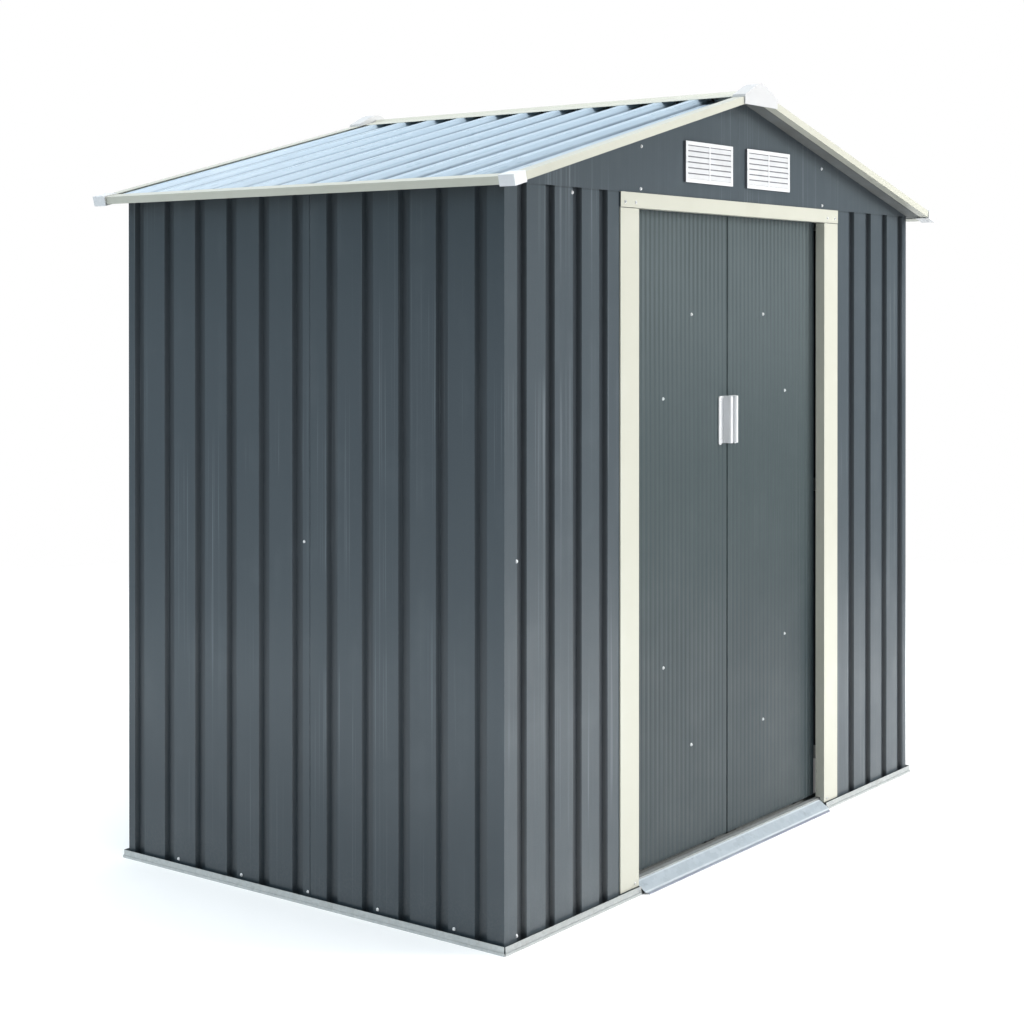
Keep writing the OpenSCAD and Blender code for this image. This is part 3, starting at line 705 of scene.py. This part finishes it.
# painted shade: dark lines along the door ribs towards the top, with a painted highlight that lightens the
# doors towards the top
doorRibShadeAndTopLight = {
    "Painted Line": (0.022, 0.031, 0.033, 1),
    "Painted Tone": (0.099, 0.123, 0.130, 1),
    "Direction": (1, 0, 0),
    "Mirror": 1.0,
    "Pitch": 0.0194,
    "Start": 0.0256,
    "Foot": 0.0,
    "Breadth": 0.0075,
    "Low": 0.85,
    "High": 1.50,
    "Amount": 0.55,
    "Fade": 0.70,
}

# painted shade: the side walls darken towards the ground (foot) and under the eave (eave)
wallPaintedShade = {
    "foot": {"Shade": (0.004, 0.0150, 0.0230, 1), "From": 0.60, "Full": 0.13, "Side Amount": 0.62},
    "eave": {"Shade": (0.0, 0.012, 0.016, 1), "From": 1.20, "Full": 1.56, "Side Amount": 0.18},
}

# painted shade: the doors darken towards the ground
doorPaintedShade = {
    "foot": {"Shade": (0.003, 0.0125, 0.0190, 1), "From": 0.90, "Full": 0.40, "Amount": 0.50},
}


def coatedSheet(name, finish, primer=None, ribs=None, paintedShades=None):
    material, tree, shader = startMaterial(name)
    wear = sheetWearAndShade[name]
    base = placeEffect(tree, "rolledFinish", **finish)
    colour = base["Color"]
    # painted shade in the wall grooves
    if wear["grooves"]:
        colour = placeEffect(tree, "paintedRecessShade", Color=colour, Amount=wear["grooves"])["Color"]
    # painted shade lines on ribs and seams, and on the doors a painted highlight towards the top
    if ribs:
        colour = placeEffect(tree, "paintedLines", Color=colour, **ribs)["Color"]
    # painted shade by height
    for shade in (paintedShades or {}).values():
        colour = placeEffect(tree, "paintedHeightShade", Color=colour, **shade)["Color"]
    splash = placeEffect(tree, "groundSplash", Color=colour, Reach=wear["reach"], Amount=wear["splash"])
    resting = placeEffect(tree, "restingDust", Color=splash["Color"], Amount=wear["dust"])
    rub = placeEffect(tree, "edgeRub", Color=resting["Color"], Bare=wear["bare"], Amount=wear["rub"])
    colour, coat = rub["Color"], wear["coat"]
    dull = sums(tree, "ADD", splash["Mask"], resting["Mask"])
    # underside primer with painted shade
    if primer:
        hidden = placeEffect(tree, "hiddenFace", Color=colour, Primer=primer)
        colour, coat = hidden["Color"], between(tree, hidden["Mask"], wear["coat"], 0.0)
        dull = sums(tree, "MAXIMUM", dull, hidden["Mask"])
    wire(tree, colour, shader.inputs["Base Color"])
    feed(tree, shader.inputs["Coat Weight"], coat)
    shader.inputs["Coat Roughness"].default_value = sheetGloss["coat"]
    wire(tree, between(tree, dull, base["Roughness"], sheetGloss["dusty"]), shader.inputs["Roughness"])
    bumped(tree, shader, base["Height"])
    return material


galvanisedSteel = {
    "Light": (0.49, 0.52, 0.52, 1),
    "Dark": (0.345, 0.37, 0.375, 1),
    "Stain": (0.30, 0.295, 0.27, 1),
    "Crystals": 130.0,
    "Contrast": 0.55,
    "Stains": 0.35,
    "Shine": 0.30,
    "Dull": 0.55,
}

rampZinc = {
    "Light": (0.46, 0.525, 0.575, 1),
    "Dark": (0.30, 0.36, 0.41, 1),
    "Stain": (0.20, 0.235, 0.265, 1),
    "Crystals": 60.0,
    "Contrast": 0.55,
    "Stains": 0.55,
    "Shine": 0.30,
    "Dull": 0.44,
}

screwZinc = {
    "Light": (0.86, 0.87, 0.88, 1),
    "Dark": (0.62, 0.63, 0.64, 1),
    "Stain": (0.36, 0.34, 0.30, 1),
    "Crystals": 400.0,
    "Contrast": 0.35,
    "Stains": 0.30,
    "Shine": 0.22,
    "Dull": 0.45,
}

oneLine = {"Pitch": 4.0, "Foot": 0.0}  # more than the shed's depth

# painted highlights (pale, crease) and painted shade (edge) along the ramp's lip
rampLipLightAndShade = {
    "pale": {"Painted Line": (0.74, 0.80, 0.85, 1), "Start": -0.6025, "Breadth": 0.0030, "Amount": 0.9, **oneLine},
    "edge": {"Painted Line": (0.16, 0.17, 0.24, 1), "Start": -0.6090, "Breadth": 0.0042, "Amount": 0.9, **oneLine},
    "crease": {"Painted Line": (0.72, 0.78, 0.82, 1), "Start": -0.5750, "Breadth": 0.0030, "Amount": 0.7, **oneLine},
}

zincWear = {
    "galvanisedSteel": {"metal": 0.55, "soil": 0.15, "rub": 0.35},
    "rampZinc": {"metal": 0.25, "soil": 0.04, "rub": 0.10},
    "screwZinc": {"metal": 0.25, "soil": 0.10, "rub": 0.20},
}

zincGrime = {
    "reach": 0.03,  # metres above the ground
    "dust": 0.10,
    "bare": (0.80, 0.83, 0.85, 1),
    "dusty": 0.85,
    "dustyMetal": 0.1,
    "metalUntil": 0.8,
}


def zincPlate(name, finish, lines=None):
    material, tree, shader = startMaterial(name)
    wear, grime = zincWear[name], zincGrime
    base = placeEffect(tree, "zincSpangle", **finish)
    colour = base["Color"]
    # painted highlight and shade lines
    for line in (lines or {}).values():
        colour = placeEffect(tree, "paintedLines", Color=colour, **line)["Color"]
    splash = placeEffect(tree, "groundSplash", Color=colour, Reach=grime["reach"], Amount=wear["soil"])
    resting = placeEffect(tree, "restingDust", Color=splash["Color"], Amount=grime["dust"])
    rub = placeEffect(tree, "edgeRub", Color=resting["Color"], Bare=grime["bare"], Amount=wear["rub"])
    wire(tree, rub["Color"], shader.inputs["Base Color"])
    dull = sums(tree, "ADD", splash["Mask"], resting["Mask"])
    wire(tree, between(tree, dull, base["Roughness"], grime["dusty"]), shader.inputs["Roughness"])
    metal = spread(tree, dull, 0.0, grime["metalUntil"], wear["metal"], grime["dustyMetal"], False)
    wire(tree, metal, shader.inputs["Metallic"])
    bumped(tree, shader, base["Height"])
    return material


whitePlastic = {
    "Fresh": (0.645, 0.660, 0.680, 1),
    "Aged": (0.59, 0.595, 0.58, 1),
    "Ageing": 0.35,
    "Shine": 0.30,
    "Dull": 0.46,
    "Depth": 0.00002,
}

glidePlastic = {
    "Fresh": (0.055, 0.057, 0.060, 1),
    "Aged": (0.16, 0.155, 0.145, 1),
    "Ageing": 0.5,
    "Shine": 0.34,
    "Dull": 0.55,
    "Depth": 0.00003,
}

# painted shade in the vent's louvre slots
slotShade = {
    "Painted Shade": (0.11, 0.115, 0.135, 1),
    "Half Depth": 0.5898,
    "From": 0.0002,
    "Full": 0.0019,
    "Until": 0.0080,
    "Amount": 0.95,
}

# painted shade: the white plastic turns grey above 1.77 m, on the peak caps
peakCapShade = {
    "Painted Tone": (0.45, 0.455, 0.46, 1),
    "Low": 1.77,
    "High": 1.85,
    "Amount": 0.0,
    "Fade": 0.70,
}

plasticWear = {
    "bare": {"whitePlastic": (0.64, 0.64, 0.65, 1), "glidePlastic": (0.25, 0.25, 0.24, 1)},
    "dust": 0.22,
    "rub": 0.4,
    "dusty": 0.8,
}


def mouldedPlastic(name, finish, slots=None, capShade=None):
    material, tree, shader = startMaterial(name)
    wear = plasticWear
    base = placeEffect(tree, "mouldedGrain", **finish)
    colour = base["Color"]
    # painted shade in slots
    if slots:
        colour = placeEffect(tree, "paintedRecessShade", Color=colour, **slots)["Color"]
    # painted shade by height
    if capShade:
        colour = placeEffect(tree, "paintedLines", Color=colour, **capShade)["Color"]
    resting = placeEffect(tree, "restingDust", Color=colour, Amount=wear["dust"])
    rub = placeEffect(tree, "edgeRub", Color=resting["Color"], Bare=wear["bare"][name], Amount=wear["rub"])
    wire(tree, rub["Color"], shader.inputs["Base Color"])
    wire(tree, between(tree, resting["Mask"], base["Roughness"], wear["dusty"]), shader.inputs["Roughness"])
    bumped(tree, shader, base["Height"])
    return material


finishes = {
    "wall_sheet": coatedSheet("wallSheet", wallSheet, ribs=gableSeamShadow, paintedShades=wallPaintedShade),
    "door_sheet": coatedSheet("doorSheet", doorSheet, ribs=doorRibShadeAndTopLight, paintedShades=doorPaintedShade),
    "roof_sheet": coatedSheet("roofSheetPaintedSky", roofSheetPaintedSky, roofPrimer, roofRibShade),
    "cream_trim": coatedSheet("creamTrim", creamTrim),
    "galvanised_steel": zincPlate("galvanisedSteel", galvanisedSteel),
    "ramp_zinc": zincPlate("rampZinc", rampZinc, rampLipLightAndShade),
    "white_plastic": mouldedPlastic("whitePlastic", whitePlastic, slotShade, peakCapShade),
    "glide_plastic": mouldedPlastic("glidePlastic", glidePlastic),
}

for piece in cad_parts.values():
    for slot in piece.material_slots:
        slot.material = finishes[slot.material.name.split(".")[0]]
screwFinish = zincPlate("screwZinc", screwZinc)
print("finishes laid on:", len(finishes))


# screws

screwHead = {
    "radius": 0.0030,  # metres
    "height": 0.0022,
    "washer": 0.0040,
    "washerHeight": 0.0008,
    "recess": 0.0010,
    "sunk": 0.0004,  # of the washer, into the sheet
    "sides": 24,
    "turn": 0.7,  # radians from one screw to the next
    "washerShares": ((1.0, 0.6), (0.93, 1.0)),  # of the washer's radius and height
    "headShares": ((1.0, 0.0), (0.98, 0.45), (0.84, 0.82), (0.60, 1.0), (0.54, 1.0), (0.20, 1.0)),
}

screwSearch = {
    "sideStart": 1.3,  # metres from the middle of the shed
    "endStart": 1.2,
    "steps": 6,
    "flatness": 0.999,
}

alongSheet = (0.006, 0, 0)  # metres a search step

screwRows = {
    "side": {
        "places": [(y, 0.0265) for y in (0.4066, 0.1930, -0.0200, -0.2310, -0.4480)] + [(-0.0090, 0.8225)],
        "step": (0, 0.006, 0), "size": 1.0,
    },
    "front corner": {"places": [(0.9173, 0.8190), (0.9173, 0.0275)], "step": alongSheet, "size": 1.0},
    "wall top": {"places": [(0.7147, 1.6080)], "step": alongSheet, "size": 1.0},
    "gable upper": {"places": [(0.4400, 1.7285)], "step": alongSheet, "size": 1.0},
    "gable lower": {"places": [(0.4430, 1.6300)], "step": alongSheet, "size": 1.0},
    "vent": {"places": [(0.0400, 1.7035), (0.2500, 1.7035)], "step": (0.0006, 0, 0), "size": 0.55},
    "jamb foot": {"places": [(0.4692, 0.0280)], "step": (0, 0, 0.0018), "size": 0.7},
    "header": {"places": [(0.5110, 1.5970), (0.4680, 1.5970)], "step": alongSheet, "size": 1.0},
    "back": {
        "places": [(x, 0.0265) for x in (0.86, 0.645, 0.43, 0.215)] + [(0.43, 0.8225)],
        "step": alongSheet, "size": 1.0,
    },
    "door": {
        "places": [(0.1758, 1.3388), (0.2966, 1.1370), (0.2952, 0.4943), (0.1764, 0.2877)],
        "step": alongSheet, "size": 1.0,
    },
    "handle": {"places": [(0.0345, 1.1215), (0.0345, 1.0260)], "step": (0.0012, 0, 0), "size": 0.6},
}

sides = {"left": -1, "right": 1}
front, back = -1, 1

endRows = [
    ("front_wall_{}_panel", "front corner", front),
    ("front_wall_{}_panel", "wall top", front),
    ("front_gable_{}", "gable upper", front),
    ("back_gable_{}", "gable upper", back),
    ("front_gable_{}", "gable lower", front),
    ("back_gable_{}", "gable lower", back),
    ("gable_vents", "vent", front),
    ("door_jamb_{}", "jamb foot", front),
    ("door_header", "header", front),
    ("back_wall_{}_panel", "back", back),
]

doorRows = [
    ("{}_door_panel", "door", front),
    ("{}_door_handle", "handle", front),
]


def screwRings():
    radius, height = screwHead["radius"], screwHead["height"]
    washer, base = screwHead["washer"], screwHead["washerHeight"]
    rings = [(washer, -screwHead["sunk"])]
    rings += [(washer * wide, base * tall) for wide, tall in screwHead["washerShares"]]
    rings += [(radius * wide, base + height * tall) for wide, tall in screwHead["headShares"]]
    return rings


def buildScrew(mesh, place, outward, turn, size):
    axis = Vector(outward).normalized()
    frameTurn = axis.to_track_quat("Z", "Y").to_matrix().to_4x4() @ Matrix.Rotation(turn, 4, "Z")
    count = screwHead["sides"]
    quarter = count // 4
    rings = screwRings()
    middle = len(rings) - 1
    rows = []
    for index, (radius, height) in enumerate(rings):
        row = []
        for step in range(count):
            angle = 2 * math.pi * step / count
            inSlot = step % quarter == 0
            sunken = index == middle or (index == middle - 1 and inSlot)
            sink = screwHead["recess"] if sunken else 0.0
            point = Vector((radius * math.cos(angle), radius * math.sin(angle), height - sink))
            row.append(mesh.verts.new(frameTurn @ (point * size) + Vector(place)))
        rows.append(row)
    for low, high in zip(rows, rows[1:]):
        for step in range(count):
            after = (step + 1) % count
            mesh.faces.new((low[step], low[after], high[after], high[step]))
    mesh.faces.new(rows[-1])


def seatOn(nodeName, start, toward, step):
    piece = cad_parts[nodeName]
    way = Vector(toward)
    tries = [0] + [sign * count for count in range(1, screwSearch["steps"] + 1) for sign in (1, -1)]
    for count in tries:
        found, place, normal, _ = piece.ray_cast(Vector(start) + Vector(step) * count, way)
        if found and normal.dot(way) < -screwSearch["flatness"]:
            return place
    return None


def addScrews(name, body, seats):
    mesh = bmesh.new()
    for index, (nodeName, start, toward, step, size) in enumerate(seats):
        place = seatOn(nodeName, start, toward, step)
        if place is None:
            print("no flat seat for a screw:", name, nodeName, start)
            continue
        buildScrew(mesh, place, -Vector(toward), screwHead["turn"] * index, size)
    bmesh.ops.recalc_face_normals(mesh, faces=mesh.faces)
    data = bpy.data.meshes.new(name)
    mesh.to_mesh(data)
    mesh.free()
    screws = bpy.data.objects.new(name, data)
    scene.collection.objects.link(screws)
    data.materials.append(screwFinish)
    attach(screws, body)


def sideSeats(side):
    sign, row = sides[side], screwRows["side"]
    seats = []
    for y, z in row["places"]:
        half = "front" if y < 0 else "back"
        start = (sign * screwSearch["sideStart"], y, z)
        seats.append((f"{side}_wall_{half}_panel", start, (-sign, 0, 0), row["step"], row["size"]))
    return seats


def endSeats(side, rowList):
    seats = []
    for pattern, rowName, end in rowList:
        row = screwRows[rowName]
        for x, z in row["places"]:
            start = (sides[side] * x, end * screwSearch["endStart"], z)
            seats.append((pattern.format(side), start, (0, -end, 0), row["step"], row["size"]))
    return seats


def makeScrews():
    bpy.context.view_layer.update()
    addScrews("side_wall_screws", "shed", [seat for side in sides for seat in sideSeats(side)])
    addScrews("end_wall_screws", "shed", [seat for side in sides for seat in endSeats(side, endRows)])
    for side in sides:
        addScrews(f"{side}_door_screws", f"{side}_door", endSeats(side, doorRows))


makeScrews()
print("screws seated")


# floor, light and backdrop

floorLook = {
    "radius": 9.0,  # metres
    "rings": 24,
    "sides": 96,
    "crowding": 1.6,  # rings lie closer towards the middle
    "fade": (2.4, 5.6),  # metres from the middle
    "shade": (0.93, 0.93, 0.93, 1),
    "worn": (0.91, 0.91, 0.905, 1),
    "speck": (3.0, 4.0, 0.6),
    "speckRange": (0.3, 0.7),
    "glow": 0.12,
    "roughness": 0.8,
    "specular": 0.15,
}

airLook = {
    "backdrop": (1.0, 1.0, 1.0, 1),
    "low": (0.50, 0.53, 0.56, 1),
    "high": (0.80, 0.90, 1.0, 1),
    "range": (-0.1, 0.6),  # upward part of the direction
    "strength": 0.36,
}

lightPanels = {
    "topPanel": {
        "place": (-0.4, -0.6, 6.0), "aim": (0, 0, 0), "size": (6.0, 6.0),
        "power": 380, "tint": (1.0, 1.0, 1.0), "gloss": True,
    },
    "frontRightPanel": {
        "place": (5.0, -6.4, 3.0), "aim": (0.0, -0.5, 0.9), "size": (4.0, 4.0),
        "power": 1015, "tint": (1.0, 0.975, 0.945), "gloss": False,
    },
    "backLeftPanel": {
        "place": (-5.5, 8.5, 4.0), "aim": (-0.9, 0.0, 0.9), "size": (5.0, 5.0),
        "power": 985, "tint": (0.84, 0.95, 1.0), "gloss": False,
    },
    "skyPanel": {
        "place": (5.2, 4.6, 4.4), "aim": (0, 0, 1.75), "size": (8.5, 3.6),
        "power": 40, "tint": (0.66, 0.83, 1.0), "gloss": True,
    },
}


def floorMaterial():
    material, tree, shader = startMaterial("paleFloor")
    place = partPlace(tree)
    speck = spread(tree, noise(tree, place, *floorLook["speck"]), *floorLook["speckRange"])
    wire(tree, mixColour(tree, speck, floorLook["shade"], floorLook["worn"]), shader.inputs["Base Color"])
    shader.inputs["Roughness"].default_value = floorLook["roughness"]
    shader.inputs["Specular IOR Level"].default_value = floorLook["specular"]
    shader.inputs["Emission Color"].default_value = floorLook["shade"]
    shader.inputs["Emission Strength"].default_value = floorLook["glow"]
    reach = addNode(tree, "ShaderNodeVectorMath", operation="LENGTH")
    wire(tree, place, reach.inputs[0])
    wire(tree, spread(tree, reach.outputs["Value"], *floorLook["fade"], 1.0, 0.0), shader.inputs["Alpha"])
    return material


def makeFloor():
    mesh = bmesh.new()
    rings, count = floorLook["rings"], floorLook["sides"]
    angles = [2 * math.pi * step / count for step in range(count)]
    rows = []
    for ring in range(1, rings + 1):
        radius = floorLook["radius"] * (ring / rings) ** floorLook["crowding"]
        rows.append([mesh.verts.new((radius * math.cos(a), radius * math.sin(a), 0.0)) for a in angles])
    mesh.faces.new(rows[0])
    for inner, outer in zip(rows, rows[1:]):
        for step in range(count):
            after = (step + 1) % count
            mesh.faces.new((inner[step], outer[step], outer[after], inner[after]))
    data = bpy.data.meshes.new("studioFloor")
    mesh.to_mesh(data)
    mesh.free()
    floor = bpy.data.objects.new("studioFloor", data)
    scene.collection.objects.link(floor)
    data.materials.append(floorMaterial())


def makeBackdrop():
    world = bpy.data.worlds.new("studioAir")
    scene.world = world
    world.use_nodes = True
    tree = world.node_tree
    tree.nodes.clear()
    upward = axes(tree, addNode(tree, "ShaderNodeTexCoord").outputs["Generated"])["Z"]
    air = mixColour(tree, spread(tree, upward, *airLook["range"]), airLook["low"], airLook["high"])
    glow = addNode(tree, "ShaderNodeBackground")
    wire(tree, air, glow.inputs["Color"])
    glow.inputs["Strength"].default_value = airLook["strength"]
    plain = addNode(tree, "ShaderNodeBackground")
    plain.inputs["Color"].default_value = airLook["backdrop"]
    choose = addNode(tree, "ShaderNodeMixShader")
    wire(tree, addNode(tree, "ShaderNodeLightPath").outputs["Is Camera Ray"], choose.inputs[0])
    wire(tree, glow.outputs[0], choose.inputs[1])
    wire(tree, plain.outputs[0], choose.inputs[2])
    wire(tree, choose.outputs[0], addNode(tree, "ShaderNodeOutputWorld").inputs["Surface"])


def makeLights():
    for name, values in lightPanels.items():
        lamp = bpy.data.lights.new(name, "AREA")
        lamp.shape = "RECTANGLE"
        lamp.size, lamp.size_y = values["size"]
        lamp.energy = values["power"]
        lamp.color = values["tint"]
        panel = bpy.data.objects.new(name, lamp)
        scene.collection.objects.link(panel)
        panel.location = values["place"]
        facing = Vector(values["aim"]) - Vector(values["place"])
        panel.rotation_euler = facing.to_track_quat("-Z", "Y").to_euler()
        panel.visible_camera = False
        panel.visible_glossy = values["gloss"]


makeFloor()
makeBackdrop()
makeLights()
scene.view_settings.view_transform = "Standard"
print("studio ready")
